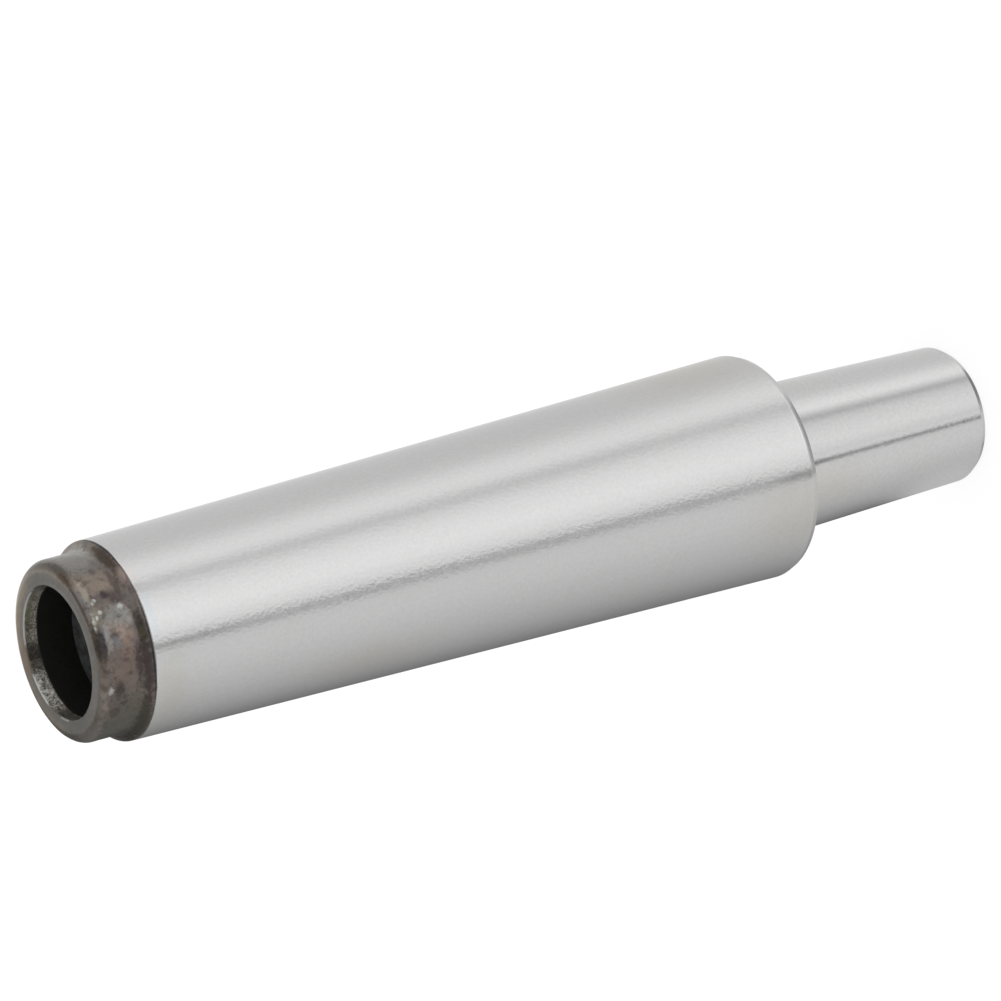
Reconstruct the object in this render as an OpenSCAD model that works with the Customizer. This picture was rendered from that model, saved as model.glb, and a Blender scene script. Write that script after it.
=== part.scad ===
// Drill chuck arbor, turned from one bar: a tapered shank with a drawbar thread in its narrow end,
// and a short self-holding taper on which a drill chuck is pressed.
// Millimetres. The axis is +Z. The arbor stands on the flat end of its chuck taper, at Z = 0,
// and the drawbar end is on top.

/* [Shank taper] */
// Shank from its shoulder to the drawbar end face
shank_l = 83; // [50:0.5:100]
// Shank diameter at the gauge line
shank_gauge_d = 23.825; // [23.1:0.005:31.5]
// Gauge line to the shoulder
shank_gauge_back = 2; // [0:0.1:6]
// Length in which the shank loses one millimetre of diameter
shank_rate = 19.922; // [17:0.001:40]
// Length of the bevel on the shoulder's edge
shoulder_bevel_l = 0.7; // [0.1:0.05:1.5]
// Slope of that bevel against the axis, in degrees
shoulder_bevel_slope = 20; // [10:1:60]

/* [Drawbar end] */
// Diameter of the neck behind the end face
neck_d = 18.2; // [16:0.1:19]
// Rounding of the neck's end
neck_round = 1.15; // [0.3:0.05:1.2]
// End face to the line where the ground taper starts
ground_start = 5.2; // [3.5:0.1:12]
// Slope of the collar that rises from the neck, against the axis, in degrees
collar_slope = 50; // [35:1:60]
// Fillet between the neck and the collar
collar_fillet = 0.8; // [0.2:0.05:1]
// Rounding between the collar and the ground taper
collar_round = 0.6; // [0.1:0.05:0.8]

/* [Drawbar bore] */
// Tapping drill, which is the wall of the thread
tap_drill_d = 10.2; // [6:0.1:11.5]
// Depth of full thread below the end face
thread_depth = 28; // [16:0.5:36]
// Plain drilling below the thread
drill_runout = 6; // [2:0.5:10]
// Point of the drill, whole angle in degrees
drill_point = 118; // [90:1:140]
// Lead-in cone of the thread, whole angle in degrees
lead_angle = 120; // [90:1:140]
// Counterbore in front of the thread
counterbore_d = 13; // [12.2:0.1:13.2]
// Floor of the counterbore below the end face
counterbore_depth = 5.3; // [3.2:0.1:9.5]
// Protecting recess in the end face
recess_d = 13.3; // [13.1:0.1:14]
// Depth of that recess
recess_depth = 1.4; // [0.5:0.1:3]
// Chamfer on the recess's mouth
mouth_chamfer = 0.12; // [0.05:0.01:0.4]

/* [Chuck taper] */
// Chuck taper from the shoulder to its end face
chuck_l = 26; // [18:0.5:45]
// Chuck taper diameter at its gauge line
chuck_gauge_d = 15.733; // [12:0.001:18]
// Shoulder to the chuck taper's gauge line
chuck_gauge_l = 7; // [0:0.1:10]
// Length in which the chuck taper loses one millimetre of diameter
chuck_rate = 20.020; // [15:0.001:40]
// Length of the bevel on the chuck end
chuck_bevel_l = 0.7; // [0.1:0.05:1.5]
// Slope of that bevel against the axis, in degrees
chuck_bevel_slope = 30; // [10:1:60]

/* [Centre hole] */
// Pilot drilling of the centre hole in the chuck end
pilot_d = 3.15; // [1:0.05:4]
// Mouth of that centre hole
centre_d = 6.7; // [5:0.1:8.5]
// Straight part of the pilot drilling
pilot_l = 2.5; // [1:0.1:6]

/* [Hidden] */
// Whole angle of the cone that a lathe or grinder centre bears on
centre_angle = 60;
total_l = chuck_l + shank_l;
neck_r = neck_d / 2;
recess_r = recess_d / 2;
counterbore_r = counterbore_d / 2;
tap_drill_r = tap_drill_d / 2;
pilot_r = pilot_d / 2;
centre_r = centre_d / 2;
shank_lean = atan(0.5 / shank_rate);
$fn = 128;

// Radius of the shank's taper at a height
function shank_r(z) = (shank_gauge_d - (z - chuck_l - shank_gauge_back) / shank_rate) / 2;

// Radius of the chuck taper at a height
function chuck_r(z) = (chuck_gauge_d + (z - chuck_l + chuck_gauge_l) / chuck_rate) / 2;

// Depth of a cone of a whole angle between two radii
function cone_depth(r_wide, r_narrow, angle) = (r_wide - r_narrow) / tan(angle / 2);

// Depth of a bevel of a length along the axis
function bevel_depth(l, slope) = l * tan(slope);

chuck_bevel_r = chuck_r(chuck_bevel_l);
shoulder_bevel_r = shank_r(chuck_l + shoulder_bevel_l);

// The collar's cone and its two tangent arcs, as [radius, height] points
ground_z = total_l - ground_start;
round_reach = collar_round * tan((collar_slope - shank_lean) / 2);
fillet_reach = collar_fillet * tan(collar_slope / 2);
ground_point = [shank_r(ground_z), ground_z];
outer_corner = ground_point + round_reach * [-sin(shank_lean), cos(shank_lean)];
collar_rise = outer_corner.x - neck_r;
inner_corner = [neck_r, outer_corner.y + collar_rise / tan(collar_slope)];
down_slope = [sin(collar_slope), -cos(collar_slope)];
round_start = outer_corner - round_reach * down_slope;
fillet_end = inner_corner + fillet_reach * down_slope;
fillet_start = inner_corner + [0, fillet_reach];
round_centre = ground_point - collar_round * [cos(shank_lean), sin(shank_lean)];
fillet_centre = fillet_start + [collar_fillet, 0];

// Half of the turned outline, without its bores
module turned_outline() {
    difference() {
        union() {
            polygon([
                [0, 0],
                [chuck_bevel_r - bevel_depth(chuck_bevel_l, chuck_bevel_slope), 0],
                [chuck_bevel_r, chuck_bevel_l],
                [chuck_r(chuck_l), chuck_l],
                [shoulder_bevel_r - bevel_depth(shoulder_bevel_l, shoulder_bevel_slope), chuck_l],
                [shoulder_bevel_r, chuck_l + shoulder_bevel_l],
                ground_point,
                round_start,
                fillet_end,
                fillet_start,
                [neck_r, total_l - neck_round],
                [neck_r - neck_round, total_l],
                [0, total_l]
            ]);
            translate(round_centre) circle(collar_round);
            translate([neck_r - neck_round, total_l - neck_round]) circle(neck_round);
        }
        translate(fillet_centre) circle(collar_fillet);
    }
}

// Drawbar bore: recess, counterbore, lead-in cone, tapped wall and drill point
module bore_outline() {
    recess_z = total_l - recess_depth;
    lead_z = total_l - counterbore_depth;
    wall_z = lead_z - cone_depth(counterbore_r, tap_drill_r, lead_angle);
    floor_z = total_l - thread_depth - drill_runout;
    polygon([
        [0, total_l],
        [recess_r + mouth_chamfer, total_l],
        [recess_r, total_l - mouth_chamfer],
        [recess_r, recess_z],
        [counterbore_r, recess_z],
        [counterbore_r, lead_z],
        [tap_drill_r, wall_z],
        [tap_drill_r, floor_z],
        [0, floor_z - cone_depth(tap_drill_r, 0, drill_point)]
    ]);
}

// Centre hole in the chuck end: centring cone, pilot drilling and drill point
module centre_hole_outline() {
    pilot_z = cone_depth(centre_r, pilot_r, centre_angle);
    floor_z = pilot_z + pilot_l;
    polygon([
        [0, 0],
        [centre_r, 0],
        [pilot_r, pilot_z],
        [pilot_r, floor_z],
        [0, floor_z + cone_depth(pilot_r, 0, drill_point)]
    ]);
}

module arbor() {
    color("silver")
        rotate_extrude()
            difference() {
                turned_outline();
                bore_outline();
                centre_hole_outline();
            }
}

arbor();
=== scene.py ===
import math
import bmesh
import bpy
from mathutils import Matrix, Vector, noise


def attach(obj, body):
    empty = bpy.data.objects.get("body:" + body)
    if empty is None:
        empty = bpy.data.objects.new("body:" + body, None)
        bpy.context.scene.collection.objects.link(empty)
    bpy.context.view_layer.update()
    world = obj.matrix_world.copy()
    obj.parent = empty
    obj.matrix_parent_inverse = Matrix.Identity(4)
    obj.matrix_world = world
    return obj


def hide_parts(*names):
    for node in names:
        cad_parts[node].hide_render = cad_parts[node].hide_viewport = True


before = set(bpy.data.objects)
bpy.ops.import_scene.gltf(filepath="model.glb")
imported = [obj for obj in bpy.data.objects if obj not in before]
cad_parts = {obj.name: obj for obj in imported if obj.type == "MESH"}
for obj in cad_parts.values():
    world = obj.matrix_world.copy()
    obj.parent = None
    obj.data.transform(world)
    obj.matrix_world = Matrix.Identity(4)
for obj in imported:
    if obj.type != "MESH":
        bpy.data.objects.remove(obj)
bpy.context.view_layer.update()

# Sizes of the turned part, in metres, as in its drawing
MM = 0.001
TOTAL_L = 109 * MM
CHUCK_L = 26 * MM
SHANK_GAUGE_R = 23.825 / 2 * MM
SHANK_GAUGE_BACK = 2 * MM
SHANK_RATE = 19.922
CHUCK_GAUGE_R = 15.733 / 2 * MM
CHUCK_GAUGE_L = 7 * MM
CHUCK_RATE = 20.020
BEVEL_L = 0.7 * MM
SHOULDER_SLOPE = math.radians(20)
CHUCK_SLOPE = math.radians(30)
NECK_R = 9.1 * MM
NECK_ROUND = 1.15 * MM
GROUND_Z = TOTAL_L - 5.2 * MM
COLLAR_SLOPE = math.radians(50)
COLLAR_FILLET = 0.8 * MM
COLLAR_ROUND = 0.6 * MM
RECESS_R = 6.65 * MM
RECESS_Z = TOTAL_L - 1.4 * MM
MOUTH_CHAMFER = 0.12 * MM
COUNTERBORE_R = 6.5 * MM
LEAD_Z = TOTAL_L - 5.3 * MM
LEAD_ANGLE = math.radians(120)
TAP_DRILL_R = 5.1 * MM
THREAD_R = 6.0 * MM
THREAD_PITCH = 1.75 * MM
THREAD_FLAT = THREAD_PITCH / 8
THREAD_FLANK = math.radians(30)
THREAD_END_Z = TOTAL_L - 28 * MM
TAP_TAPER_L = 3.5 * MM
TAP_END_Z = THREAD_END_Z - TAP_TAPER_L
BORE_FLOOR_Z = TOTAL_L - 34 * MM
DRILL_POINT = math.radians(118)
CENTRE_R = 3.35 * MM
CENTRE_ANGLE = math.radians(60)
PILOT_R = 1.575 * MM
PILOT_L = 2.5 * MM

# How finely the surface is made
SEGMENTS = 256
EDGE_ROUND = 0.06 * MM
MOUTH_ROUND = 0.02 * MM
EDGE_STEPS = 3
COLLAR_STEPS = 7
RIM_STEPS = 12
SHANK_CUTS = 23
CHUCK_CUTS = 7
SMOOTH_ANGLE = math.radians(34)
# The flat that is held beside a rounded edge
HOLD = 0.12 * MM
# Longest steps of the drawbar end's outline and of the tapped wall
FINE_STEP = 0.16 * MM
THREAD_STEP = 0.14 * MM
# Within these, two lengths are the same and two points are one
NEAR = 0.002 * MM
JOINED = 0.0005 * MM


def shank_r(z):
    """Radius of the shank's taper at a height."""
    return SHANK_GAUGE_R - (z - CHUCK_L - SHANK_GAUGE_BACK) / SHANK_RATE / 2


def chuck_r(z):
    """Radius of the chuck taper at a height."""
    return CHUCK_GAUGE_R + (z - CHUCK_L + CHUCK_GAUGE_L) / CHUCK_RATE / 2


def cone_l(wide, narrow, angle):
    """Length of a cone of a whole angle between two radii."""
    return (wide - narrow) / math.tan(angle / 2)


def rounded(before, corner, after, radius, steps):
    """Points of the arc that rounds a corner of the outline."""
    a = (Vector(before) - Vector(corner)).normalized()
    b = (Vector(after) - Vector(corner)).normalized()
    half = math.acos(max(-1, min(1, a.dot(b)))) / 2
    reach = radius / math.tan(half)
    centre = Vector(corner) + (a + b).normalized() * radius / math.sin(half)
    first = Vector(corner) + a * reach - centre
    last = Vector(corner) + b * reach - centre
    turn = math.atan2(first.cross(last), first.dot(last))
    arc = []
    for i in range(steps + 1):
        spin = Matrix.Rotation(turn * i / steps, 2)
        arc.append(tuple(centre + spin @ first))
    return arc


def walk(points, step):
    """The same way with points no further apart than a step."""
    way = [points[0]]
    for a, b in zip(points, points[1:]):
        count = max(1, math.ceil((Vector(b) - Vector(a)).length / step))
        way += [tuple(Vector(a).lerp(Vector(b), i / count)) for i in range(1, count + 1)]
    return way


def soft_edges(corners, radius=EDGE_ROUND):
    """An outline with every inner corner lightly rounded, and a ring that holds the flat beside it."""
    way = [corners[0]]
    for before, corner, after in zip(corners, corners[1:], corners[2:]):
        arc = rounded(before, corner, after, radius, EDGE_STEPS)
        back = (Vector(before) - Vector(arc[0])).normalized() * HOLD
        on = (Vector(after) - Vector(arc[-1])).normalized() * HOLD
        way += [tuple(Vector(arc[0]) + back), *arc, tuple(Vector(arc[-1]) + on)]
    return way + [corners[-1]]


# Outline of the chuck end, both tapers and the collar, as points of radius and height
pilot_top = cone_l(CENTRE_R, PILOT_R, CENTRE_ANGLE)
pilot_floor = pilot_top + PILOT_L
pilot_tip = pilot_floor + cone_l(PILOT_R, 0, DRILL_POINT)
chuck_edge_r = chuck_r(BEVEL_L)
chuck_face_r = chuck_edge_r - BEVEL_L * math.tan(CHUCK_SLOPE)
shoulder_edge_r = shank_r(CHUCK_L + BEVEL_L)
shoulder_face_r = shoulder_edge_r - BEVEL_L * math.tan(SHOULDER_SLOPE)
ground_r = shank_r(GROUND_Z)
lower = soft_edges([
    (PILOT_R, pilot_floor),
    (PILOT_R, pilot_top),
    (CENTRE_R, 0),
    (chuck_face_r, 0),
    (chuck_edge_r, BEVEL_L),
    (chuck_r(CHUCK_L), CHUCK_L),
    (shoulder_face_r, CHUCK_L),
    (shoulder_edge_r, CHUCK_L + BEVEL_L),
    (ground_r, GROUND_Z),
])

# Outline of the collar, the neck and the bore's mouth
lean = math.atan(0.5 / SHANK_RATE)
round_reach = COLLAR_ROUND * math.tan((COLLAR_SLOPE - lean) / 2)
outer_corner = (ground_r - round_reach * math.sin(lean), GROUND_Z + round_reach * math.cos(lean))
inner_corner = (NECK_R, outer_corner[1] + (outer_corner[0] - NECK_R) / math.tan(COLLAR_SLOPE))
lead_end = LEAD_Z - cone_l(COUNTERBORE_R, TAP_DRILL_R, LEAD_ANGLE)
collar_arc = rounded((ground_r, GROUND_Z), outer_corner, inner_corner, COLLAR_ROUND, COLLAR_STEPS)
fillet_arc = rounded(outer_corner, inner_corner, (NECK_R, TOTAL_L), COLLAR_FILLET, COLLAR_STEPS)
rim_arc = rounded((NECK_R, GROUND_Z), (NECK_R, TOTAL_L), (RECESS_R, TOTAL_L), NECK_ROUND, RIM_STEPS)
mouth = soft_edges([
    rim_arc[-1],
    (RECESS_R + MOUTH_CHAMFER, TOTAL_L),
    (RECESS_R, TOTAL_L - MOUTH_CHAMFER),
    (RECESS_R, RECESS_Z),
    (COUNTERBORE_R, RECESS_Z),
    (COUNTERBORE_R, LEAD_Z),
    (TAP_DRILL_R, lead_end),
], MOUTH_ROUND)
drawbar_end = walk(collar_arc + fillet_arc + rim_arc + mouth[1:], FINE_STEP)


# Modelling

def select_edges(piece, chosen):
    """Selects the edges whose two ends a test accepts."""
    shape = bmesh.from_edit_mesh(piece.data)
    for face in shape.faces:
        face.select = False
    for vertex in shape.verts:
        vertex.select = False
    for edge in shape.edges:
        edge.select = chosen(edge.verts[0].co, edge.verts[1].co)
    shape.select_flush_mode()
    bmesh.update_edit_mesh(piece.data)


def near(a, b, within=NEAR):
    """Whether two lengths are the same."""
    return abs(a - b) < within


def cut_across(piece, chosen, cuts):
    """Cuts the edges whose two ends a test accepts into shorter ones."""
    select_edges(piece, chosen)
    bpy.ops.mesh.subdivide(number_cuts=cuts)


def draw_out(way, start):
    """Extrudes the open ring along an outline, ring after ring."""
    radius, height = start
    for new_radius, new_height in way:
        bpy.ops.mesh.extrude_edges_move(TRANSFORM_OT_translate={"value": (0, 0, new_height - height)})
        grow = new_radius / radius
        bpy.ops.transform.resize(value=(grow, grow, 1), center_override=(0, 0, new_height))
        radius, height = new_radius, new_height


def groove_r(angle, z):
    """Radius of the right-hand thread's groove, with its flat bottom and 60 degree flanks."""
    turn = z / THREAD_PITCH - angle / (2 * math.pi)
    off = abs(turn - round(turn)) * THREAD_PITCH
    full = THREAD_R - max(0, off - THREAD_FLAT / 2) / math.tan(THREAD_FLANK)
    fade = (z - TAP_END_Z) / TAP_TAPER_L
    return TAP_DRILL_R + (full - TAP_DRILL_R) * max(0, min(1, fade))


def turn_arbor():
    """The whole arbor as one closed shell, from the centre hole round the outside to the bore's floor."""
    bpy.ops.object.select_all(action="DESELECT")
    bpy.ops.mesh.primitive_cone_add(
        vertices=SEGMENTS,
        radius1=PILOT_R,
        radius2=0,
        depth=pilot_tip - pilot_floor,
        end_fill_type="NOTHING",
        location=(0, 0, (pilot_floor + pilot_tip) / 2),
    )
    piece = bpy.context.object
    piece.name = "turned_arbor"
    piece.data.name = "turned_arbor"
    bpy.ops.object.transform_apply(location=True, rotation=True, scale=True)
    bpy.ops.object.mode_set(mode="EDIT")
    bpy.ops.mesh.select_mode(type="EDGE")
    select_edges(piece, lambda a, b: near(a.z, pilot_floor) and near(b.z, pilot_floor))
    draw_out(lower[1:-1], lower[0])
    draw_out(drawbar_end, lower[-2])
    bottom = [
        (TAP_DRILL_R, TAP_END_Z),
        (TAP_DRILL_R, BORE_FLOOR_Z + HOLD),
        (TAP_DRILL_R, BORE_FLOOR_Z),
        (TAP_DRILL_R - HOLD, BORE_FLOOR_Z - cone_l(HOLD, 0, DRILL_POINT)),
    ]
    draw_out(bottom, drawbar_end[-1])
    point_l = cone_l(TAP_DRILL_R - HOLD, 0, DRILL_POINT)
    bpy.ops.mesh.extrude_edges_move(TRANSFORM_OT_translate={"value": (0, 0, -point_l)})
    bpy.ops.mesh.merge(type="CENTER")
    tapped = lead_end - TAP_END_Z
    shank_l = GROUND_Z - CHUCK_L

    def upright_in_tap(a, b):
        return near(abs(a.z - b.z), tapped, tapped / 50) and near(max(a.z, b.z), lead_end)

    def upright_on_shank(a, b):
        return abs(a.z - b.z) > shank_l / 2 and min(a.z, b.z) > CHUCK_L

    def upright_on_chuck_taper(a, b):
        return abs(a.z - b.z) > CHUCK_L / 2 and max(a.z, b.z) < CHUCK_L

    cut_across(piece, upright_in_tap, round(tapped / THREAD_STEP))
    cut_across(piece, upright_on_shank, SHANK_CUTS)
    cut_across(piece, upright_on_chuck_taper, CHUCK_CUTS)
    bpy.ops.mesh.select_all(action="SELECT")
    bpy.ops.mesh.remove_doubles(threshold=JOINED)
    bpy.ops.mesh.normals_make_consistent(inside=False)
    bpy.ops.object.mode_set(mode="OBJECT")
    return piece


def cut_thread(piece):
    """Moves the rings of the bore's wall out into the thread's groove."""
    for vertex in piece.data.vertices:
        spot = vertex.co
        radius = math.hypot(spot.x, spot.y)
        if TAP_DRILL_R - HOLD < radius < THREAD_R and TAP_END_Z < spot.z < LEAD_Z:
            wanted = groove_r(math.atan2(spot.y, spot.x), spot.z)
            if wanted > radius:
                spot.x *= wanted / radius
                spot.y *= wanted / radius


def smooth_step(value):
    """Turns 0..1 into 0..1 with soft ends, and no further."""
    value = max(0, min(1, value))
    return value * value * (3 - 2 * value)


# Dents in the drawbar end: degrees from the front, radius, height, half width and depth, in millimetres
DENTS = (
    (27.5, 9.1, 106.49, 0.5, 0.05), (-31.5, 9.1, 107.15, 0.6, 0.06), (47.0, 9.1, 106.1, 0.45, 0.03),
    (4.0, 8.94, 108.40, 0.7, 0.10), (-4.5, 9.0, 108.32, 0.7, 0.10), (14.0, 8.9, 108.45, 0.6, 0.05),
    (24.0, 9.05, 108.05, 0.5, 0.03), (-52.0, 9.1, 107.1, 0.6, 0.03),
)
WAVE_DEPTH = 0.02 * MM
WAVE_L = 1.3 * MM
# Both fade out in this length, and this much beside the mouth's lip stays as turned
WEATHER_FADE = 0.3 * MM
LIP_KEPT = 0.01 * MM


def weather(piece):
    """Sinks the scaled drawbar end a little, in waves and dents."""
    dents = []
    for angle, radius, height, size, depth in DENTS:
        turn = math.radians(angle)
        place = Vector((radius * math.sin(turn), -radius * math.cos(turn), height)) * MM
        dents.append((place, size * MM, depth * MM))
    moves = []
    for vertex in piece.data.vertices:
        spot = vertex.co
        radius = math.hypot(spot.x, spot.y)
        if spot.z <= GROUND_Z or radius < RECESS_R + LIP_KEPT:
            continue
        sink = WAVE_DEPTH * (0.5 + 0.5 * noise.noise(spot / WAVE_L))
        for place, size, depth in dents:
            sink += depth * smooth_step(1 - (spot - place).length / size)
        fade = min(spot.z - GROUND_Z, radius - RECESS_R) / WEATHER_FADE
        moves.append((vertex, vertex.normal * sink * smooth_step(fade)))
    for vertex, move in moves:
        vertex.co -= move


arbor = turn_arbor()
cut_thread(arbor)
weather(arbor)


# Materials

def make_node(tree, kind, **values):
    """Adds a node, with its settings by name and its sockets by name with spaces as underscores."""
    made = tree.nodes.new("ShaderNode" + kind)
    for name, value in values.items():
        if hasattr(made, name):
            setattr(made, name, value)
        else:
            made.inputs[name.replace("_", " ")].default_value = value
    return made


def plug(tree, socket, value):
    """Links a socket to another, or sets it to a plain value."""
    if isinstance(value, bpy.types.NodeSocket):
        tree.links.new(value, socket)
    else:
        socket.default_value = value


def maths(tree, operation, first, second=0.0):
    """A sum or other operation on one or two values, linked or plain."""
    made = make_node(tree, "Math", operation=operation)
    plug(tree, made.inputs[0], first)
    plug(tree, made.inputs[1], second)
    return made.outputs["Value"]


def times(tree, value, *others):
    """The product of two or more values."""
    for other in others:
        value = maths(tree, "MULTIPLY", value, other)
    return value


def hypot(tree, x, y):
    """The root of the sum of two squares."""
    return maths(tree, "SQRT", maths(tree, "ADD", times(tree, x, x), times(tree, y, y)))


def sides_of(tree, vector):
    """The three parts of a vector."""
    parts = make_node(tree, "SeparateXYZ")
    tree.links.new(vector, parts.inputs["Vector"])
    return parts.outputs["X"], parts.outputs["Y"], parts.outputs["Z"]


def between(tree, value, low, high, to_low=0.0, to_high=1.0, course="SMOOTHSTEP"):
    """Turns low..high into to_low..to_high and no further, with soft ends unless its course differs."""
    made = make_node(tree, "MapRange", interpolation_type=course)
    plug(tree, made.inputs["Value"], value)
    plug(tree, made.inputs["From Min"], low)
    plug(tree, made.inputs["From Max"], high)
    made.inputs["To Min"].default_value = to_low
    made.inputs["To Max"].default_value = to_high
    return made.outputs["Result"]


def band(tree, value, start, full, fading, end):
    """One from full to fading, and nothing before start or after end."""
    return times(tree, between(tree, value, start, full), between(tree, value, end, fading))


def blend(tree, factor, first, second, mode="MIX"):
    """One colour over another."""
    made = make_node(tree, "Mix", data_type="RGBA", blend_type=mode)
    plug(tree, made.inputs["Factor"], factor)
    plug(tree, made.inputs[6], first)
    plug(tree, made.inputs[7], second)
    return made.outputs[2]


def new_group(name, wanted, output, kind="NodeSocketFloat"):
    """An empty node group with number or vector inputs and one output."""
    tree = bpy.data.node_groups.new(name, "ShaderNodeTree")
    for socket, value in wanted.items():
        wanted_kind = "NodeSocketVector" if isinstance(value, tuple) else "NodeSocketFloat"
        made = tree.interface.new_socket(name=socket, in_out="INPUT", socket_type=wanted_kind)
        made.default_value = value
    tree.interface.new_socket(name=output, in_out="OUTPUT", socket_type=kind)
    given = tree.nodes.new("NodeGroupOutput").inputs[output]
    return tree, tree.nodes.new("NodeGroupInput").outputs, given


def in_mm(tree):
    """The point on the arbor, in millimetres."""
    place = make_node(tree, "TexCoord")
    scale = make_node(tree, "VectorMath", operation="SCALE")
    scale.inputs["Scale"].default_value = 1 / MM
    tree.links.new(place.outputs["Object"], scale.inputs[0])
    return scale.outputs["Vector"]


def cloud_group():
    """Clouds of a size in millimetres, cut to a mask between two levels."""
    values = {"Size": 1.0, "Shift": 0.0, "Low": 0.4, "High": 0.6}
    tree, wanted, given = new_group("clouds", values, "Mask")
    clouds = make_node(tree, "TexNoise", noise_dimensions="4D", Detail=3.0, Roughness=0.55)
    tree.links.new(in_mm(tree), clouds.inputs["Vector"])
    tree.links.new(maths(tree, "DIVIDE", 1.0, wanted["Size"]), clouds.inputs["Scale"])
    tree.links.new(wanted["Shift"], clouds.inputs["W"])
    mask = between(tree, clouds.outputs["Fac"], wanted["Low"], wanted["High"], course="LINEAR")
    tree.links.new(mask, given)
    return tree


# Marks on a flat face follow the radius, and lie this much closer than those along the axis
FACE_MARKS = 1.3


def marks_group():
    """Marks that a grinding wheel or a lathe tool leaves round the axis, of a pitch in millimetres."""
    tree, wanted, given = new_group("wheel_marks", {"Pitch": 0.1, "Length": 6.0}, "Mark")
    x, y, z = sides_of(tree, in_mm(tree))
    along = maths(tree, "ADD", z, times(tree, hypot(tree, x, y), FACE_MARKS))
    spot = make_node(tree, "CombineXYZ")
    tree.links.new(maths(tree, "DIVIDE", x, wanted["Length"]), spot.inputs["X"])
    tree.links.new(maths(tree, "DIVIDE", y, wanted["Length"]), spot.inputs["Y"])
    tree.links.new(maths(tree, "DIVIDE", along, wanted["Pitch"]), spot.inputs["Z"])
    marks = make_node(tree, "TexNoise", Scale=1.0, Detail=2.0, Roughness=0.6)
    tree.links.new(spot.outputs["Vector"], marks.inputs["Vector"])
    tree.links.new(marks.outputs["Fac"], given)
    return tree


def patch_group():
    """A ragged patch at an angle in degrees and a way along the outline in millimetres."""
    values = {
        "Here": (0.0, 0.0, 0.0),
        "Middle": (0.0, 0.0, 0.0),
        "Half": (1.0, 1.0, 1.0),
        "Ragged": 0.5,
        "Soft": 0.3,
    }
    tree, wanted, given = new_group("patch", values, "Mask")
    off = make_node(tree, "VectorMath", operation="SUBTRACT")
    tree.links.new(wanted["Here"], off.inputs[0])
    tree.links.new(wanted["Middle"], off.inputs[1])
    part = make_node(tree, "VectorMath", operation="DIVIDE")
    tree.links.new(off.outputs["Vector"], part.inputs[0])
    tree.links.new(wanted["Half"], part.inputs[1])
    across, along, cloudy = sides_of(tree, part.outputs["Vector"])
    edge = maths(tree, "ADD", hypot(tree, across, along), times(tree, cloudy, wanted["Ragged"]))
    inside = maths(tree, "SUBTRACT", 1.0, wanted["Soft"])
    outside = maths(tree, "ADD", 1.0, wanted["Soft"])
    tree.links.new(between(tree, edge, outside, inside), given)
    return tree


def here_group():
    """Where a point is: degrees from the front, way along the outline, and a cloudy third value."""
    tree, wanted, given = new_group("here", {"Grain": 0.25}, "Here", "NodeSocketVector")
    place = in_mm(tree)
    x, y, z = sides_of(tree, place)
    turn = maths(tree, "ARCTAN2", x, times(tree, y, -1.0))
    way = maths(tree, "SUBTRACT", maths(tree, "ADD", z, NECK_R / MM), hypot(tree, x, y))
    clouds = make_node(tree, "TexNoise", Detail=3.0, Roughness=0.6)
    tree.links.new(place, clouds.inputs["Vector"])
    tree.links.new(maths(tree, "DIVIDE", 1.0, wanted["Grain"]), clouds.inputs["Scale"])
    swing = times(tree, maths(tree, "SUBTRACT", clouds.outputs["Fac"], 0.5), 4.0)
    whole = make_node(tree, "CombineXYZ")
    tree.links.new(times(tree, turn, 180 / math.pi), whole.inputs["X"])
    tree.links.new(way, whole.inputs["Y"])
    tree.links.new(swing, whole.inputs["Z"])
    tree.links.new(whole.outputs["Vector"], given)
    return tree


CLOUDS = cloud_group()
MARKS = marks_group()
PATCH = patch_group()
HERE = here_group()


def effect(tree, group, **values):
    """Places a group with its own values, linked or plain, and returns its output."""
    made = make_node(tree, "Group", node_tree=group)
    for name, value in values.items():
        plug(tree, made.inputs[name], value)
    return made.outputs[0]


def patch(tree, here, angle, way, half_angle, half_way, ragged, soft):
    """The mask of one patch."""
    middle = (angle, way, 0.0)
    half = (half_angle, half_way, 1.0)
    return effect(tree, PATCH, Here=here, Middle=middle, Half=half, Ragged=ragged, Soft=soft)


def height_of(tree):
    """The height in millimetres."""
    return sides_of(tree, in_mm(tree))[2]


def bumped(tree, height, depth, under=None):
    """A bump of a depth in metres, over another bump."""
    made = make_node(tree, "Bump", Distance=depth)
    plug(tree, made.inputs["Height"], height)
    if under:
        tree.links.new(under, made.inputs["Normal"])
    return made.outputs["Normal"]


def new_finish(name, **values):
    """A new material, its node tree and its Principled shader."""
    made = bpy.data.materials.new(name)
    made.use_nodes = True
    shader = made.node_tree.nodes["Principled BSDF"]
    for socket, value in values.items():
        shader.inputs[socket.replace("_", " ")].default_value = value
    return made, made.node_tree, shader


# Colours of the ground steel
MARK_GREY = (0.765, 0.765, 0.762, 1)
MARK_WHITE = (0.815, 0.815, 0.810, 1)
GRAIN_WHITE = (0.875, 0.875, 0.873, 1)
CLOUD_GREY = (0.820, 0.820, 0.820, 1)
PORE_GREY = (0.420, 0.410, 0.400, 1)
# The next three: a rubbed edge with a painted highlight, painted shade on a bevel, and a painted darker
# reflection
RUBBED_AND_HIGHLIGHT_WHITE = (0.970, 0.970, 0.970, 1)
BEVEL_GREY = (0.500, 0.500, 0.500, 1)
DARK_REFLECTION_GREY = (0.840, 0.840, 0.840, 1)
EDGE_BROWN = (0.220, 0.200, 0.185, 1)
WARM_TINT = (0.760, 0.720, 0.640, 1)
OLIVE_TINT = (0.720, 0.700, 0.610, 1)
BLUE_TINT = (0.700, 0.790, 0.880, 1)
PINK_TINT = (0.860, 0.760, 0.740, 1)
# Grey of a painted reflection: the ends of a dark line reflected in the tapers
PAINTED_LINE_GREY = (0.480, 0.480, 0.480, 1)
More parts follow.
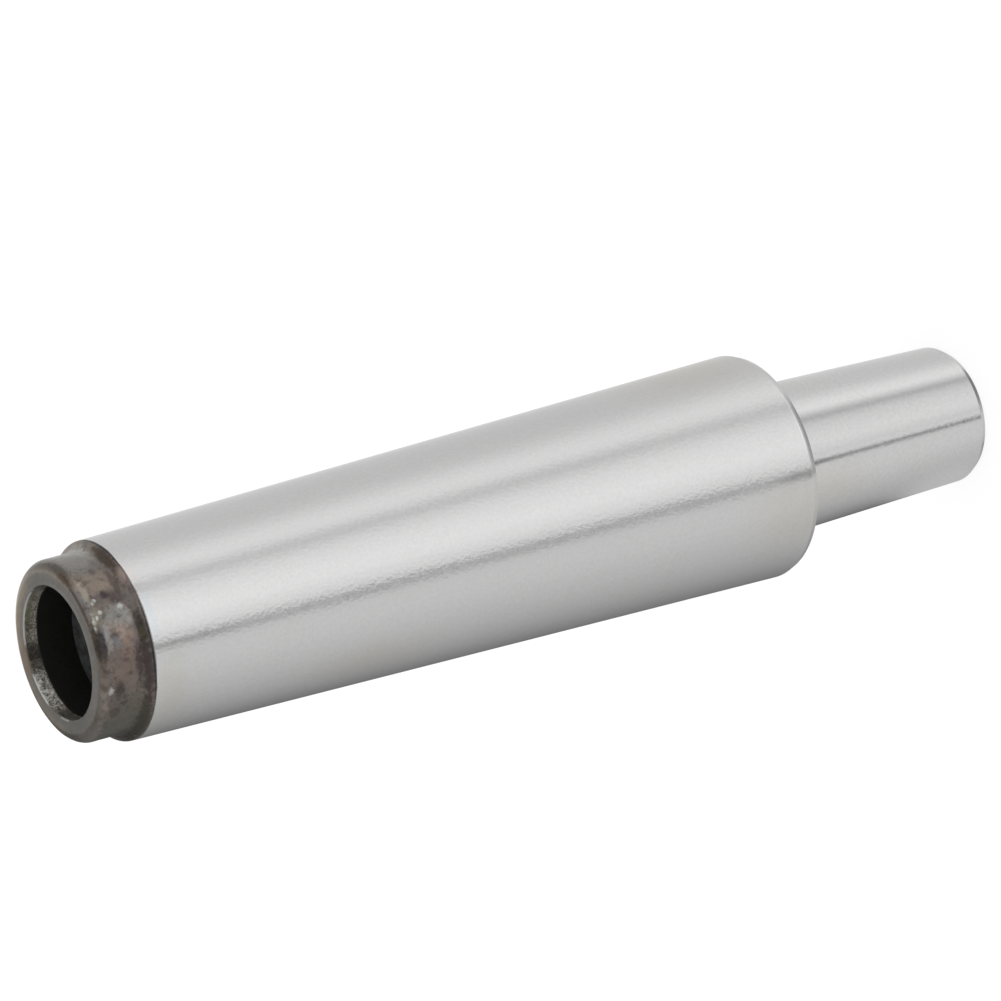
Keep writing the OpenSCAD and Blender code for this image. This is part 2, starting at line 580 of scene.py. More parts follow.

# Tints on the ground steel: degrees from the front, way, half sizes of both, strength and colour.
# The last two are a painted reflection: they darken the ends of the dark line that the tapers reflect.
TINTS = (
    (72, 31.0, 20, 7.0, 0.40, WARM_TINT),
    (-30, 27.5, 15, 3.5, 0.35, WARM_TINT),
    (-30, 22.5, 13, 4.0, 0.40, WARM_TINT),
    (-40, 101.0, 22, 1.8, 0.40, OLIVE_TINT),
    (-52, 78.0, 9, 5.0, 0.35, WARM_TINT),
    (8, 102.3, 13, 0.4, 0.35, BLUE_TINT),
    (33, 102.3, 10, 0.4, 0.35, PINK_TINT),
    (-10.6, 25.2, 1.7, 3.0, 0.55, PAINTED_LINE_GREY),
    (-10.3, 99.5, 1.3, 5.0, 0.40, PAINTED_LINE_GREY),
)
# The chuck taper is ground finer than the shank
CHUCK_ROUGH = 0.195
SHANK_ROUGH = 0.277
GRAIN_ROUGH = 0.008
CHUCK_GRAIN = 0.3
MARK_DEPTH = 0.003 * MM
GRAIN_DEPTH = 0.009 * MM
# Heights in millimetres of the shoulder, of its bevel's end and of the line where the grinding starts
SHOULDER_MM = CHUCK_L / MM
BEVEL_END_MM = SHOULDER_MM + BEVEL_L / MM
GROUND_MM = GROUND_Z / MM
# Degrees from the front where an effect starts, is full, starts to fade and ends: a painted highlight on the
# shoulder's edge, painted shade on its bevel, and a painted darker reflection on the front of the chuck
# taper
EDGE_HIGHLIGHT = (-6, 8, 26, 38)
BEVEL_SHADE = (-12, -4, 6, 42)
CHUCK_DARK_REFLECTION = (-9, -3, 25, 33)
# Part of the bright edge that is left all round, away from its painted highlight
EDGE_ALL_ROUND = 0.15


def shoulder_edge(tree, steel, height, angle, on_shank):
    """The shoulder's edge rubbed bright with a painted highlight at the front, painted shade on its bevel,
    and a painted darker reflection on the front of the chuck taper.
    """
    off_edge = maths(tree, "ABSOLUTE", maths(tree, "SUBTRACT", height, BEVEL_END_MM))
    # A painted highlight at the front of the shoulder's edge, over a rubbed edge all round
    rubbed_and_highlight = maths(tree, "MAXIMUM", band(tree, angle, *EDGE_HIGHLIGHT), EDGE_ALL_ROUND)
    rubbed_and_highlight = times(tree, rubbed_and_highlight, between(tree, off_edge, 0.15, 0.07))
    steel = blend(tree, rubbed_and_highlight, steel, RUBBED_AND_HIGHLIGHT_WHITE)
    # Painted shade on the shoulder's bevel
    bevel = times(tree, on_shank, between(tree, height, SHOULDER_MM + 0.5, SHOULDER_MM + 0.35))
    bevel = times(tree, bevel, band(tree, angle, *BEVEL_SHADE))
    steel = blend(tree, times(tree, bevel, 0.8), steel, BEVEL_GREY)
    # A painted darker reflection on the front of the chuck taper
    dark_reflection = times(tree, band(tree, angle, *CHUCK_DARK_REFLECTION), maths(tree, "SUBTRACT", 1.0, on_shank))
    return blend(tree, dark_reflection, steel, DARK_REFLECTION_GREY, "MULTIPLY")


def ground_steel():
    """Both tapers, with marks and grain round the axis, tints, a painted reflection, pores, the shoulder's
    painted highlight and shade, and a brown line beside the scale.
    """
    made, tree, shader = new_finish("ground_steel", Metallic=1.0, Anisotropic=1.0, Anisotropic_Rotation=0.25)
    around = make_node(tree, "Tangent", direction_type="RADIAL", axis="Z")
    tree.links.new(around.outputs["Tangent"], shader.inputs["Tangent"])
    marks = effect(tree, MARKS, Pitch=0.16, Length=1.6)
    grains = effect(tree, CLOUDS, Size=0.34, Low=0.34, High=0.66)
    slow = effect(tree, CLOUDS, Size=7.0, Shift=2.0, Low=0.3, High=0.7)
    pores = effect(tree, CLOUDS, Size=0.6, Shift=9.0, Low=0.70, High=0.75)
    ragged = effect(tree, CLOUDS, Size=1.6, Shift=4.0, Low=0.3, High=0.7)
    here = effect(tree, HERE, Grain=1.4)
    angle = sides_of(tree, here)[0]
    height = height_of(tree)
    on_shank = between(tree, height, SHOULDER_MM - 0.1, SHOULDER_MM)
    steel = blend(tree, marks, MARK_GREY, MARK_WHITE)
    steel = blend(tree, times(tree, grains, 0.75), steel, GRAIN_WHITE)
    steel = blend(tree, times(tree, slow, 0.3), steel, CLOUD_GREY)
    for degrees, middle, half_angle, half_way, strength, colour in TINTS:
        mask = patch(tree, here, degrees, middle, half_angle, half_way, ragged=0.4, soft=0.8)
        steel = blend(tree, times(tree, mask, strength), steel, colour)
    steel = blend(tree, times(tree, pores, 0.22), steel, PORE_GREY)
    steel = shoulder_edge(tree, steel, height, angle, on_shank)
    uneven = maths(tree, "ADD", height, times(tree, ragged, 0.12))
    line = between(tree, uneven, GROUND_MM - 0.06, GROUND_MM + 0.04)
    steel = blend(tree, times(tree, line, 0.8), steel, EDGE_BROWN)
    tree.links.new(steel, shader.inputs["Base Color"])
    rough = maths(tree, "ADD", CHUCK_ROUGH, times(tree, on_shank, SHANK_ROUGH - CHUCK_ROUGH))
    rough = maths(tree, "ADD", rough, times(tree, grains, GRAIN_ROUGH))
    tree.links.new(rough, shader.inputs["Roughness"])
    coarse = maths(tree, "ADD", CHUCK_GRAIN, times(tree, on_shank, 1 - CHUCK_GRAIN))
    grained = bumped(tree, times(tree, grains, coarse), GRAIN_DEPTH)
    tree.links.new(bumped(tree, marks, MARK_DEPTH, grained), shader.inputs["Normal"])
    return made


# Colours of the turned steel
TURNED_GREY = (0.480, 0.475, 0.460, 1)
TURNED_WHITE = (0.660, 0.655, 0.640, 1)
TURNED_DULL = (0.420, 0.400, 0.375, 1)


def turned_steel():
    """The flat faces and the centre hole, with a lathe tool's marks."""
    made, tree, shader = new_finish("turned_steel", Metallic=1.0)
    marks = effect(tree, MARKS, Pitch=0.16, Length=9.0)
    dull = effect(tree, CLOUDS, Size=1.1, Shift=8.0, Low=0.35, High=0.65)
    steel = blend(tree, marks, TURNED_GREY, TURNED_WHITE)
    steel = blend(tree, times(tree, dull, 0.4), steel, TURNED_DULL)
    tree.links.new(steel, shader.inputs["Base Color"])
    tree.links.new(between(tree, dull, 0.0, 1.0, 0.32, 0.45), shader.inputs["Roughness"])
    tree.links.new(bumped(tree, marks, 0.012 * MM), shader.inputs["Normal"])
    return made


# Colours of the hardening scale
OLIVE = (0.175, 0.170, 0.138, 1)
BROWN_GREY = (0.215, 0.188, 0.155, 1)
PURPLE_GREY = (0.155, 0.130, 0.128, 1)
PINK_BROWN = (0.300, 0.225, 0.185, 1)
BEIGE = (0.330, 0.275, 0.220, 1)
PALE_GREY = (0.362, 0.350, 0.325, 1)
SILVER_GREY = (0.480, 0.470, 0.440, 1)
BLUE_GREY = (0.225, 0.238, 0.245, 1)
LILAC_GREY = (0.340, 0.339, 0.343, 1)
PINK_PALE = (0.420, 0.330, 0.285, 1)
BEIGE_PALE = (0.440, 0.390, 0.315, 1)
PALE_OLIVE = (0.300, 0.295, 0.235, 1)
YELLOW_OLIVE = (0.120, 0.102, 0.055, 1)
WARM_BROWN = (0.092, 0.058, 0.036, 1)
RIM_BROWN = (0.036, 0.028, 0.020, 1)
GREY_OLIVE = (0.108, 0.099, 0.083, 1)
RUST_BROWN = (0.130, 0.092, 0.062, 1)
DARK_BROWN = (0.070, 0.050, 0.037, 1)
DARK_PURPLE = (0.072, 0.056, 0.056, 1)
DARK_OLIVE = (0.062, 0.058, 0.043, 1)
BLACK_BLUE = (0.024, 0.027, 0.034, 1)
FACE_GREY = (0.190, 0.192, 0.180, 1)
FACE_BROWN = (0.385, 0.325, 0.255, 1)
FACE_PALE = (0.262, 0.252, 0.235, 1)
FACE_WARM = (0.295, 0.215, 0.150, 1)
RIM_GREY = (0.330, 0.310, 0.275, 1)
FLAKE_GREY = (0.560, 0.570, 0.530, 1)
BARE_STEEL = (0.800, 0.795, 0.770, 1)

# Patches of the scale: degrees from the front, way, half sizes of both, strength, raggedness and colour.
# The way is the height in millimetres plus what the outline has come in from the neck's radius.
PATCHES = (
    # Broad areas of the neck: partly the scale's colours and partly painted light, the pale, silver and
    # beige parts towards +X as painted highlight and the olive parts towards -X as painted shade
    (-68, 106.0, 32, 2.8, 0.85, 0.4, OLIVE),
    (-86, 105.4, 13, 2.3, 0.92, 0.4, DARK_OLIVE),
    (68, 106.6, 22, 2.4, 0.75, 0.5, PALE_GREY),
    (86, 106.0, 12, 2.2, 0.60, 0.4, SILVER_GREY),
    (78, 105.1, 12, 0.60, 0.80, 0.5, SILVER_GREY),
    (38, 106.4, 9, 1.9, 0.75, 0.5, BEIGE),
    (42, 108.75, 12, 0.42, 0.75, 0.6, BEIGE),
    (-4, 105.9, 12, 0.75, 0.85, 0.7, PINK_BROWN),
    (-22, 106.9, 9, 1.3, 0.55, 0.8, PINK_BROWN),
    (15, 106.0, 6, 1.0, 0.70, 0.6, BLUE_GREY),
    (12, 106.3, 7, 1.4, 0.45, 0.6, PALE_GREY),
    (1, 107.75, 9, 0.36, 0.75, 0.6, LILAC_GREY),
    # The collar, darkened by patches that are partly the scale's colour and partly painted shade in its
    # hollow
    (-18, 103.9, 22, 0.95, 0.90, 0.5, DARK_PURPLE),
    (2, 103.7, 9, 0.85, 0.94, 0.6, DARK_OLIVE),
    (0, 103.9, 3, 0.50, 0.55, 0.5, YELLOW_OLIVE),
    (-17, 105.0, 10, 0.45, 0.85, 0.6, DARK_PURPLE),
    (-62, 103.9, 26, 1.0, 0.70, 0.4, DARK_OLIVE),
    (20, 104.0, 6, 0.50, 0.45, 0.5, PALE_GREY),
    (34, 104.9, 12, 0.40, 0.70, 0.5, DARK_PURPLE),
    (35, 103.5, 6, 0.50, 0.75, 0.5, PINK_PALE),
    (53, 103.8, 13, 0.8, 0.85, 0.5, DARK_BROWN),
    # Spots on the neck
    (25, 105.7, 5, 0.50, 0.60, 0.6, DARK_PURPLE),
    (28, 106.5, 3.2, 0.42, 0.95, 0.5, DARK_PURPLE),
    (47.5, 106.2, 3.0, 0.40, 0.75, 0.5, PURPLE_GREY),
    (54, 105.4, 5, 0.45, 0.40, 0.6, PURPLE_GREY),
    (10, 105.15, 6, 0.40, 0.50, 0.6, PALE_GREY),
    (4, 106.35, 4, 0.40, 0.60, 0.7, PINK_PALE),
    (-3, 106.9, 4, 0.45, 0.65, 0.5, BLUE_GREY),
    (-14, 106.4, 1.3, 0.30, 0.60, 0.6, RUST_BROWN),
    (-8, 106.1, 1.5, 0.20, 0.50, 0.6, RUST_BROWN),
    (-42, 106.8, 2.0, 0.35, 0.60, 0.6, DARK_PURPLE),
    (-31.5, 107.3, 4.5, 0.50, 0.85, 0.5, DARK_OLIVE),
    (-48, 107.6, 4.5, 0.50, 0.50, 0.5, DARK_PURPLE),
    # The rim
    (78, 109.3, 18, 0.50, 0.80, 0.4, GREY_OLIVE),
    (61, 108.90, 14, 0.50, 0.80, 0.4, GREY_OLIVE),
    (52, 109.5, 11, 0.44, 0.92, 0.4, WARM_BROWN),
    (28, 109.15, 13, 0.40, 0.70, 0.5, LILAC_GREY),
    (28, 109.74, 18, 0.26, 0.90, 0.4, DARK_PURPLE),
    (24, 108.45, 11, 0.30, 0.45, 0.7, PALE_GREY),
    (34, 108.4, 7, 0.50, 0.80, 0.5, BEIGE_PALE),
    (19, 108.35, 6, 0.50, 0.50, 0.7, PALE_OLIVE),
    (-1, 109.38, 12, 0.54, 0.94, 0.4, RIM_BROWN),
    (5, 109.35, 3, 0.30, 0.50, 0.5, YELLOW_OLIVE),
    (-2, 108.62, 11, 0.42, 0.92, 0.5, BLACK_BLUE),
    (-14, 108.9, 9, 0.40, 0.30, 0.7, RUST_BROWN),
    (-78, 109.3, 18, 0.90, 0.80, 0.4, RIM_GREY),
    (-40, 109.4, 14, 0.80, 0.55, 0.5, RIM_GREY),
    (-29.5, 109.2, 2.5, 0.55, 0.65, 0.6, RUST_BROWN),
    (-25, 109.1, 2.2, 0.80, 0.55, 0.6, BEIGE),
    (-35.5, 109.3, 2.2, 0.65, 0.60, 0.6, PINK_PALE),
    (-44.5, 108.9, 3.0, 0.35, 0.55, 0.6, PINK_PALE),
    # Pale parts round the flakes, and the dark line along the collar's edge
    (18.5, 105.65, 3.5, 0.42, 0.50, 0.5, PALE_GREY),
    (13.5, 108.85, 6, 0.35, 0.55, 0.5, PALE_OLIVE),
    (-12, 102.97, 28, 0.18, 0.90, 0.2, BLACK_BLUE),
    (68, 102.94, 28, 0.18, 0.90, 0.2, BLACK_BLUE),
)
# Where the scale has flaked off the steel: degrees, way, and half sizes of both
FLAKES = (
    (26.3, 107.82, 1.1, 0.16), (24.3, 108.08, 1.1, 0.16), (18.0, 107.72, 1.2, 0.19),
    (15.0, 108.28, 1.0, 0.15), (16.5, 108.80, 2.0, 0.19), (13.0, 108.88, 2.0, 0.18),
    (9.8, 108.90, 2.0, 0.19), (21.8, 108.25, 0.8, 0.11), (18.3, 105.48, 1.6, 0.20),
    (-31.3, 108.25, 2.3, 0.24),
)
# Where a highlight is painted along the mouth's lip, in bare steel's colour: degrees, half width in degrees
# and strength
LIP_HIGHLIGHT = ((137, 29, 0.85), (-152, 15, 1.0), (-109, 6.5, 0.5))
LIP_RADIUS = (RECESS_R + MOUTH_CHAMFER) / MM
# The ways at which the end face begins, behind the rim's rounding, and ends, at the lip
FACE_WAY = (TOTAL_L + NECK_ROUND) / MM
LIP_WAY = (TOTAL_L + NECK_R) / MM - LIP_RADIUS
# Pale parts of the end face: degrees, way, and half sizes of both
FACE_INNER = (15, 111.2, 62, 0.42)
FACE_OUTER = (-38, 110.7, 26, 1.2)
SCALE_METAL = 0.88
WAVE_BUMP = 0.07 * MM
FINE_BUMP = 0.008 * MM


def neck_coat(tree, here, angle, calm, fine):
    """Clouds, patches and speckles on the collar, the neck and the rim."""
    wide = effect(tree, CLOUDS, Size=2.6, Low=0.42, High=0.6)
    warm = effect(tree, CLOUDS, Size=1.1, Shift=3.0, Low=0.44, High=0.62)
    cool = effect(tree, CLOUDS, Size=0.9, Shift=7.0, Low=0.52, High=0.66)
    dark = effect(tree, CLOUDS, Size=0.75, Shift=15.0, Low=0.53, High=0.69)
    coat = blend(tree, wide, BROWN_GREY, PURPLE_GREY)
    coat = blend(tree, times(tree, warm, 0.5), coat, PINK_BROWN)
    coat = blend(tree, times(tree, cool, 0.35), coat, BLUE_GREY)
    for degrees, middle, half_angle, half_way, strength, ragged, colour in PATCHES:
        mask = patch(tree, here, degrees, middle, half_angle, half_way, ragged, soft=0.45)
        coat = blend(tree, times(tree, mask, strength), coat, colour)
    from_below = between(tree, angle, -62, -40, 0.3, 1.0)
    from_above = between(tree, angle, 58, 34, 0.3, 1.0)
    speckled = times(tree, calm, from_below, from_above)
    coat = blend(tree, times(tree, dark, speckled, 0.6), coat, DARK_BROWN)
    return blend(tree, times(tree, fine, speckled, 0.3), coat, PURPLE_GREY)


def flaked(tree, coat, here):
    """Bright spots where the scale has flaked off."""
    flakes = 0.0
    for degrees, middle, half_angle, half_way in FLAKES:
        mask = patch(tree, here, degrees, middle, half_angle, half_way, ragged=1.1, soft=0.6)
        flakes = maths(tree, "MAXIMUM", mask, flakes)
    return blend(tree, times(tree, flakes, 0.85), coat, FLAKE_GREY)


def face_coat(tree, coat, here, angle, way, face):
    """Browns on the rim's far side, and pale and warm parts on the end face."""
    rim = between(tree, way, FACE_WAY - 1.15, FACE_WAY - 0.15)
    rim = times(tree, rim, between(tree, way, FACE_WAY + 0.85, FACE_WAY + 0.2, 0.3, 0.95))
    far = maths(tree, "ABSOLUTE", angle)
    far_side = times(tree, between(tree, far, 95, 130, 0.15, 1.0), between(tree, angle, -1, 1, 0.55, 1.0))
    coat = blend(tree, times(tree, rim, far_side), coat, FACE_BROWN)
    inner = patch(tree, here, *FACE_INNER, ragged=0.3, soft=0.3)
    outer = patch(tree, here, *FACE_OUTER, ragged=0.5, soft=0.5)
    coat = blend(tree, times(tree, maths(tree, "MAXIMUM", outer, inner), face, 0.8), coat, FACE_PALE)
    coat = blend(tree, times(tree, between(tree, far, 163, 176), face, 0.75), coat, FACE_WARM)
    stain = effect(tree, CLOUDS, Size=1.5, Shift=61.0, Low=0.45, High=0.6)
    return blend(tree, times(tree, stain, face, 0.3), coat, BROWN_GREY)


def painted_lip_highlight(tree, coat, here):
    """A painted highlight in bare steel's colour along the mouth's lip."""
    x, y, _ = sides_of(tree, in_mm(tree))
    lip = between(tree, hypot(tree, x, y), LIP_RADIUS + 0.02, LIP_RADIUS)
    for degrees, half_angle, strength in LIP_HIGHLIGHT:
        glint = patch(tree, here, degrees, LIP_WAY, half_angle, 9.0, ragged=0.15, soft=0.2)
        coat = blend(tree, times(tree, lip, glint, strength), coat, BARE_STEEL)
    return coat


def hardening_scale():
    """The unground drawbar end, from the collar to the mouth's lip."""
    made, tree, shader = new_finish("hardening_scale", Metallic=SCALE_METAL)
    here = effect(tree, HERE, Grain=0.45)
    angle, way, _ = sides_of(tree, here)
    fine = effect(tree, CLOUDS, Size=0.32, Shift=11.0, Low=0.34, High=0.66)
    waves = effect(tree, CLOUDS, Size=1.0, Shift=20.0, Low=0.0, High=1.0)
    calm = between(tree, way, FACE_WAY - 0.25, FACE_WAY - 0.95, 0.25, 1.0)
    face = between(tree, way, FACE_WAY - 0.3, FACE_WAY + 0.05)
    coat = neck_coat(tree, here, angle, calm, fine)
    coat = blend(tree, times(tree, face, 0.85), coat, FACE_GREY)
    coat = flaked(tree, coat, here)
    coat = face_coat(tree, coat, here, angle, way, face)
    coat = painted_lip_highlight(tree, coat, here)
    tree.links.new(coat, shader.inputs["Base Color"])
    rough = between(tree, fine, 0.0, 1.0, 0.285, 0.36)
    tree.links.new(maths(tree, "ADD", rough, times(tree, face, 0.08)), shader.inputs["Roughness"])
    waved = bumped(tree, times(tree, waves, calm), WAVE_BUMP)
    tree.links.new(bumped(tree, times(tree, fine, calm), FINE_BUMP, waved), shader.inputs["Normal"])
    return made


# Colours in the bore
WALL_BROWN = (0.075, 0.062, 0.050, 1)
WALL_DARK = (0.030, 0.026, 0.022, 1)
WALL_WARM = (0.275, 0.242, 0.196, 1)
WALL_PALE = (0.520, 0.495, 0.440, 1)
WALL_BRIGHT = (0.660, 0.640, 0.600, 1)
WALL_GREEN = (0.180, 0.220, 0.085, 1)
WALL_OLIVE = (0.060, 0.054, 0.036, 1)
BORE_BLACK = (0.010, 0.010, 0.008, 1)
LEAD_GREY = (0.030, 0.036, 0.036, 1)

# Places on the recess's wall: degrees from the front, way, and half sizes of both
# The warm parts are partly the wall's colour and partly painted light; the sparks are painted glints
WARM_LEFT = (-148, 111.0, 20, 3.0)
WARM_RIGHT = (140, 111.0, 36, 3.0)
OLIVE_SHADE = (138, 111.15, 34, 0.5)
GREEN_STAIN = (138, 111.0, 8, 0.24)
SPARK_GLINTS = (-150, 110.95, 14, 0.75)
# Degrees of the wall's dark gap on the far side, and the reach in which it ends
DARK_GAP = 176
GAP_START = 6
GAP_END = 14


def mouth_coat(tree, here, speckle, brown):
    """The recess's wall: dark, with a warm speckled part on each side that is partly painted light, a green
    stain, and bright sparks that are painted glints.
    """
    left = patch(tree, here, *WARM_LEFT, ragged=0.3, soft=0.4)
    right = patch(tree, here, *WARM_RIGHT, ragged=0.3, soft=0.4)
    bright = maths(tree, "MAXIMUM", maths(tree, "MAXIMUM", left, times(tree, right, 0.85)), 0.2)
    wall = blend(tree, brown, WALL_DARK, WALL_BROWN)
    wall = blend(tree, times(tree, bright, 0.6), wall, WALL_WARM)
    wall = blend(tree, times(tree, speckle, bright), wall, WALL_PALE)
    wall = blend(tree, times(tree, left, speckle), wall, WALL_BRIGHT)
    shade = patch(tree, here, *OLIVE_SHADE, ragged=0.4, soft=0.4)
    wall = blend(tree, times(tree, shade, 0.35), wall, WALL_OLIVE)
    off_gap = maths(tree, "ABSOLUTE", maths(tree, "SUBTRACT", sides_of(tree, here)[0], DARK_GAP))
    wall = blend(tree, times(tree, between(tree, off_gap, GAP_END, GAP_START), 0.75), wall, WALL_DARK)
    green = patch(tree, here, *GREEN_STAIN, ragged=0.9, soft=0.3)
    wall = blend(tree, times(tree, green, 0.6), wall, WALL_GREEN)
    spark_glints = effect(tree, CLOUDS, Size=0.42, Shift=47.0, Low=0.53, High=0.58)
    spark_glints = times(tree, spark_glints, patch(tree, here, *SPARK_GLINTS, ragged=0.3, soft=0.3))
    return blend(tree, spark_glints, wall, BARE_STEEL)


def bore_scale():
    """The whole bore: the recess's wall, and behind it a near black wall with a grey lead-in."""
    made, tree, shader = new_finish("bore_scale")
    here = effect(tree, HERE, Grain=0.3)
    height = height_of(tree)
    speckle = effect(tree, CLOUDS, Size=0.17, Shift=31.0, Low=0.44, High=0.60)
    brown = effect(tree, CLOUDS, Size=0.6, Shift=37.0, Low=0.4, High=0.6)
    near_mouth = between(tree, height, RECESS_Z / MM - 0.02, RECESS_Z / MM + 0.02)
    lead = between(tree, height, lead_end / MM - 0.05, lead_end / MM)
    lead = times(tree, lead, between(tree, height, LEAD_Z / MM + 0.1, LEAD_Z / MM))
    deep = blend(tree, times(tree, lead, brown), BORE_BLACK, LEAD_GREY)
    coat = blend(tree, near_mouth, deep, mouth_coat(tree, here, speckle, brown))
    tree.links.new(coat, shader.inputs["Base Color"])
    tree.links.new(times(tree, near_mouth, 0.25), shader.inputs["Metallic"])
    tree.links.new(between(tree, speckle, 0.0, 1.0, 0.32, 0.5), shader.inputs["Roughness"])
    grain = maths(tree, "ADD", times(tree, speckle, near_mouth), times(tree, brown, 0.5))
    tree.links.new(bumped(tree, grain, 0.02 * MM), shader.inputs["Normal"])
    return made


for finish in (ground_steel(), turned_steel(), hardening_scale(), bore_scale()):
    arbor.data.materials.append(finish)
GROUND, TURNED, SCALE, BORE = range(4)
AT_FACE = 0.01 * MM


def finish_at(radius, height):
    """The material of a face, by the place of its middle."""
    if radius < RECESS_R + 2 * AT_FACE and height > CHUCK_L:
        return BORE
    if height > GROUND_Z:
        return SCALE
    if height < AT_FACE or radius < CENTRE_R or abs(height - CHUCK_L) < AT_FACE:
        return TURNED
    return GROUND


for face in arbor.data.polygons:
    face.material_index = finish_at(math.hypot(face.center.x, face.center.y), face.center.z)

bpy.ops.object.select_all(action="DESELECT")
arbor.select_set(True)
bpy.context.view_layer.objects.active = arbor
bpy.ops.object.shade_smooth_by_angle(angle=SMOOTH_ANGLE, keep_sharp_edges=False)
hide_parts("arbor")
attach(arbor, "root")

# Studio: a pale floor, a plain white world, and a light tent that only reflections see
FLOOR_SIZE = 6
FLOOR_DROP = 0.01 * MM
PAPER_GREY = (0.25, 0.25, 0.25, 1)
# What the floor's own glow adds for the camera, so that it shows white
FLOOR_GLOW = 0.80
TENT_R = 1.0
TENT_LOW = -1.9
TENT_HIGH = 1.1
TENT_ROOF_LEVEL = 0.5
# The tent's floor is darker on the side from the front round +X to the back
TENT_FLOOR_DARK = 0.20
TENT_FLOOR_LIGHT = 0.66
# Brightness of the tent's panels by the direction, in degrees from the front, towards +X
TENT_PANELS = (
    (-180, 0.34), (-176, 0.18), (-162, 0.15), (-150, 0.21), (-132, 0.30), (-120, 0.38), (-108, 0.44),
    (-96, 0.50), (-72, 0.60), (-48, 0.68), (-30, 0.68), (-24.0, 0.66), (-22.1, 0.12), (-20.0, 0.12),
    (-17.6, 0.73), (-12, 0.83), (0, 0.95), (8, 1.00), (16, 0.98), (30, 0.91), (42, 0.80), (46.5, 0.53),
    (49, 0.53), (53.5, 0.76), (61, 0.89), (72, 0.89), (92, 0.67), (108, 0.63), (132, 0.65), (156, 0.76),
    (168, 0.86), (180, 0.92),
)


def bare_material(name):
    """A new material whose node tree is empty, and that tree."""
    made = bpy.data.materials.new(name)
    made.use_nodes = True
    made.node_tree.nodes.clear()
    return made, made.node_tree


def level_material(name, levels):
    """Emission that goes round by direction, from the back over -X, the front and +X, in steps of level."""
    made, tree = bare_material(name)
    place = make_node(tree, "TexCoord")
    turned = make_node(tree, "Mapping", vector_type="POINT")
    turned.inputs["Rotation"].default_value = (0, 0, math.radians(90))
    angle = make_node(tree, "TexGradient", gradient_type="RADIAL")
    panels = make_node(tree, "ValToRGB")
    ramp = panels.color_ramp
    while len(ramp.elements) < len(levels):
        ramp.elements.new(0.5)
    for element, (degrees, level) in zip(ramp.elements, levels):
        element.position = (degrees + 180) / 360
        element.color = (level, level, level, 1)
    glow = make_node(tree, "Emission", Strength=1.0)
    out = make_node(tree, "OutputMaterial")
    tree.links.new(place.outputs["Object"], turned.inputs["Vector"])
    tree.links.new(turned.outputs["Vector"], angle.inputs["Vector"])
    tree.links.new(angle.outputs["Color"], panels.inputs["Fac"])
    tree.links.new(panels.outputs["Color"], glow.inputs["Color"])
    tree.links.new(glow.outputs["Emission"], out.inputs["Surface"])
    return made


def only_reflected(piece):
    """Stage that only reflections see."""
    piece.visible_camera = False
    piece.visible_diffuse = False
    piece.visible_transmission = False
    piece.visible_volume_scatter = False
    piece.visible_shadow = False


bpy.ops.object.select_all(action="DESELECT")
bpy.ops.mesh.primitive_cylinder_add(
    vertices=128,
    radius=TENT_R,
    depth=TENT_HIGH - TENT_LOW,
    end_fill_type="NOTHING",
    location=(0, 0, (TENT_HIGH + TENT_LOW) / 2),
)
tent = bpy.context.object
tent.name = "tent_wall"
tent.data.materials.append(level_material("tent_wall", TENT_PANELS))
only_reflected(tent)


def tent_disc(name, height, levels):
    """The tent's roof or floor."""
    bpy.ops.object.select_all(action="DESELECT")
    bpy.ops.mesh.primitive_circle_add(vertices=64, radius=TENT_R, fill_type="NGON", location=(0, 0, height))
    disc = bpy.context.object
    disc.name = name
    disc.data.materials.append(level_material(name, levels))
    only_reflected(disc)


tent_disc("tent_roof", TENT_HIGH, ((-180, TENT_ROOF_LEVEL), (180, TENT_ROOF_LEVEL)))
tent_disc("tent_floor", TENT_LOW, (
    (-180, TENT_FLOOR_LIGHT), (-35, TENT_FLOOR_LIGHT), (-15, TENT_FLOOR_DARK),
    (150, TENT_FLOOR_DARK), (175, TENT_FLOOR_LIGHT),
))

# A white card with a soft edge lies beside the foot and shows in the underside of the chuck taper
CARD_PLACE = (-10 * MM, 3 * MM, -0.005 * MM)
CARD_R = 14 * MM
CARD_LEVEL = 0.58


def card_material():
    """A glow that fades out towards the card's edge."""
    made, tree = bare_material("soft_card")
    place = make_node(tree, "TexCoord")
    grown = make_node(tree, "Mapping", vector_type="POINT")
    grown.inputs["Scale"].default_value = (1 / CARD_R, 1 / CARD_R, 1 / CARD_R)
    ball = make_node(tree, "TexGradient", gradient_type="SPHERICAL")
    clear = make_node(tree, "BsdfTransparent")
    glow = make_node(tree, "Emission", Strength=CARD_LEVEL)
    both = make_node(tree, "MixShader")
    out = make_node(tree, "OutputMaterial")
    tree.links.new(place.outputs["Object"], grown.inputs["Vector"])
    tree.links.new(grown.outputs["Vector"], ball.inputs["Vector"])
    tree.links.new(between(tree, ball.outputs["Fac"], 0.0, 0.7), both.inputs[0])
    tree.links.new(clear.outputs["BSDF"], both.inputs[1])
    tree.links.new(glow.outputs["Emission"], both.inputs[2])
    tree.links.new(both.outputs["Shader"], out.inputs["Surface"])
    return made


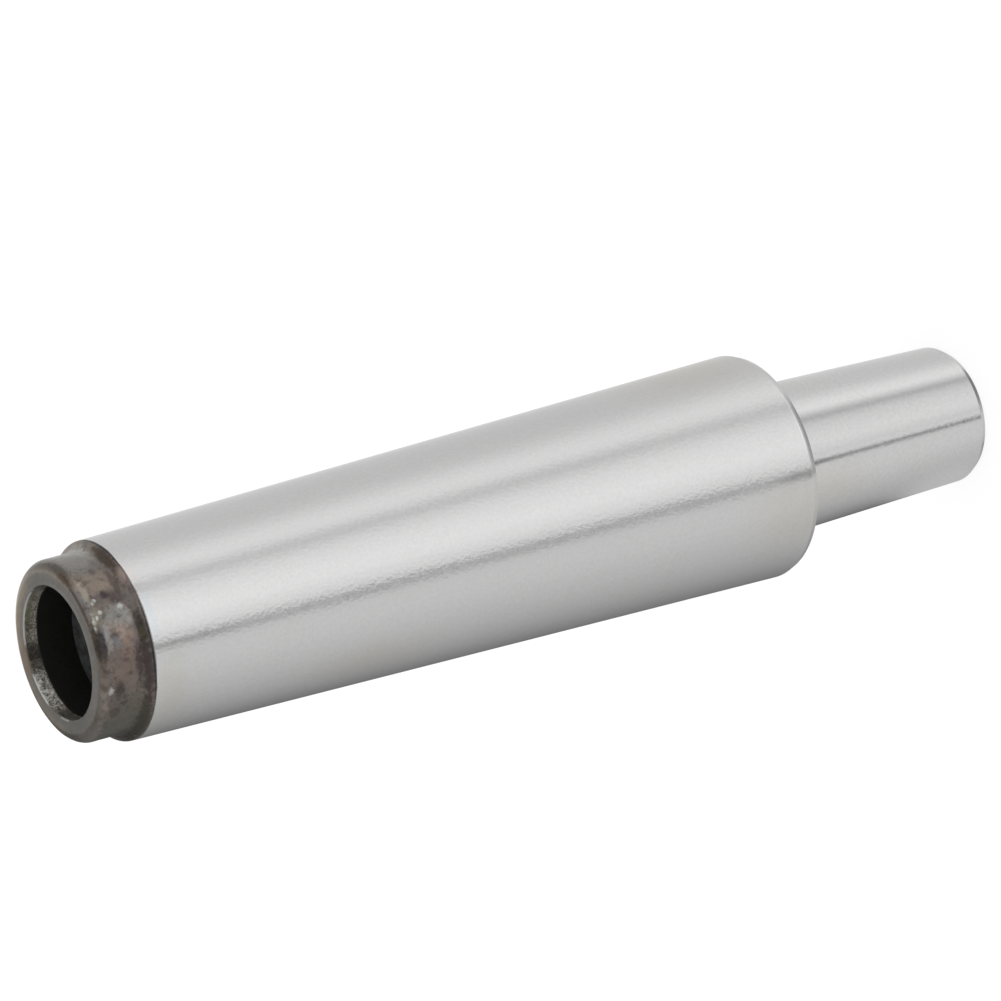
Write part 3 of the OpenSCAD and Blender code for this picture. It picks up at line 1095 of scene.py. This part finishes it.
bpy.ops.object.select_all(action="DESELECT")
bpy.ops.mesh.primitive_circle_add(vertices=48, radius=CARD_R, fill_type="NGON", location=CARD_PLACE)
card = bpy.context.object
card.name = "soft_card"
card.data.materials.append(card_material())
only_reflected(card)


def floor_material():
    """Pale paper that shows white to the camera and keeps the arbor's shadow."""
    made, tree = bare_material("white_floor")
    paper = make_node(tree, "BsdfDiffuse", Color=PAPER_GREY)
    rays = make_node(tree, "LightPath")
    glow = make_node(tree, "Emission", Color=(1, 1, 1, 1))
    both = make_node(tree, "AddShader")
    out = make_node(tree, "OutputMaterial")
    tree.links.new(times(tree, rays.outputs["Is Camera Ray"], FLOOR_GLOW), glow.inputs["Strength"])
    tree.links.new(paper.outputs["BSDF"], both.inputs[0])
    tree.links.new(glow.outputs["Emission"], both.inputs[1])
    tree.links.new(both.outputs["Shader"], out.inputs["Surface"])
    return made


bpy.ops.object.select_all(action="DESELECT")
bpy.ops.mesh.primitive_plane_add(size=FLOOR_SIZE, location=(0, 0, -FLOOR_DROP))
floor = bpy.context.object
floor.name = "floor"
floor.visible_glossy = False
floor.data.materials.append(floor_material())

world = bpy.data.worlds.new("white_studio")
bpy.context.scene.world = world
world.use_nodes = True
sky = world.node_tree.nodes["Background"]
sky.inputs["Color"].default_value = (1, 1, 1, 1)
sky.inputs["Strength"].default_value = 1.0

# Camera: where the photograph was taken from, turned about its own axis
CAMERA_PLACE = (3.2435 * MM, -419.650 * MM, 308.769 * MM)
CAMERA_DOWN = math.radians(31.002)
CAMERA_ROLL = math.radians(-104.920)
CAMERA_LENS = 173.284
SENSOR_WIDTH = 36
CLIP_START = 0.01
CLIP_END = 20
bpy.ops.object.camera_add(location=CAMERA_PLACE)
camera = bpy.context.object
camera.name = "camera"
camera.data.sensor_width = SENSOR_WIDTH
camera.data.lens = CAMERA_LENS
camera.data.clip_start = CLIP_START
camera.data.clip_end = CLIP_END
tilt = Matrix.Rotation(math.pi / 2 - CAMERA_DOWN, 4, "X") @ Matrix.Rotation(CAMERA_ROLL, 4, "Z")
camera.rotation_euler = tilt.to_euler()
bpy.context.scene.camera = camera
bpy.context.scene.view_settings.view_transform = "Standard"
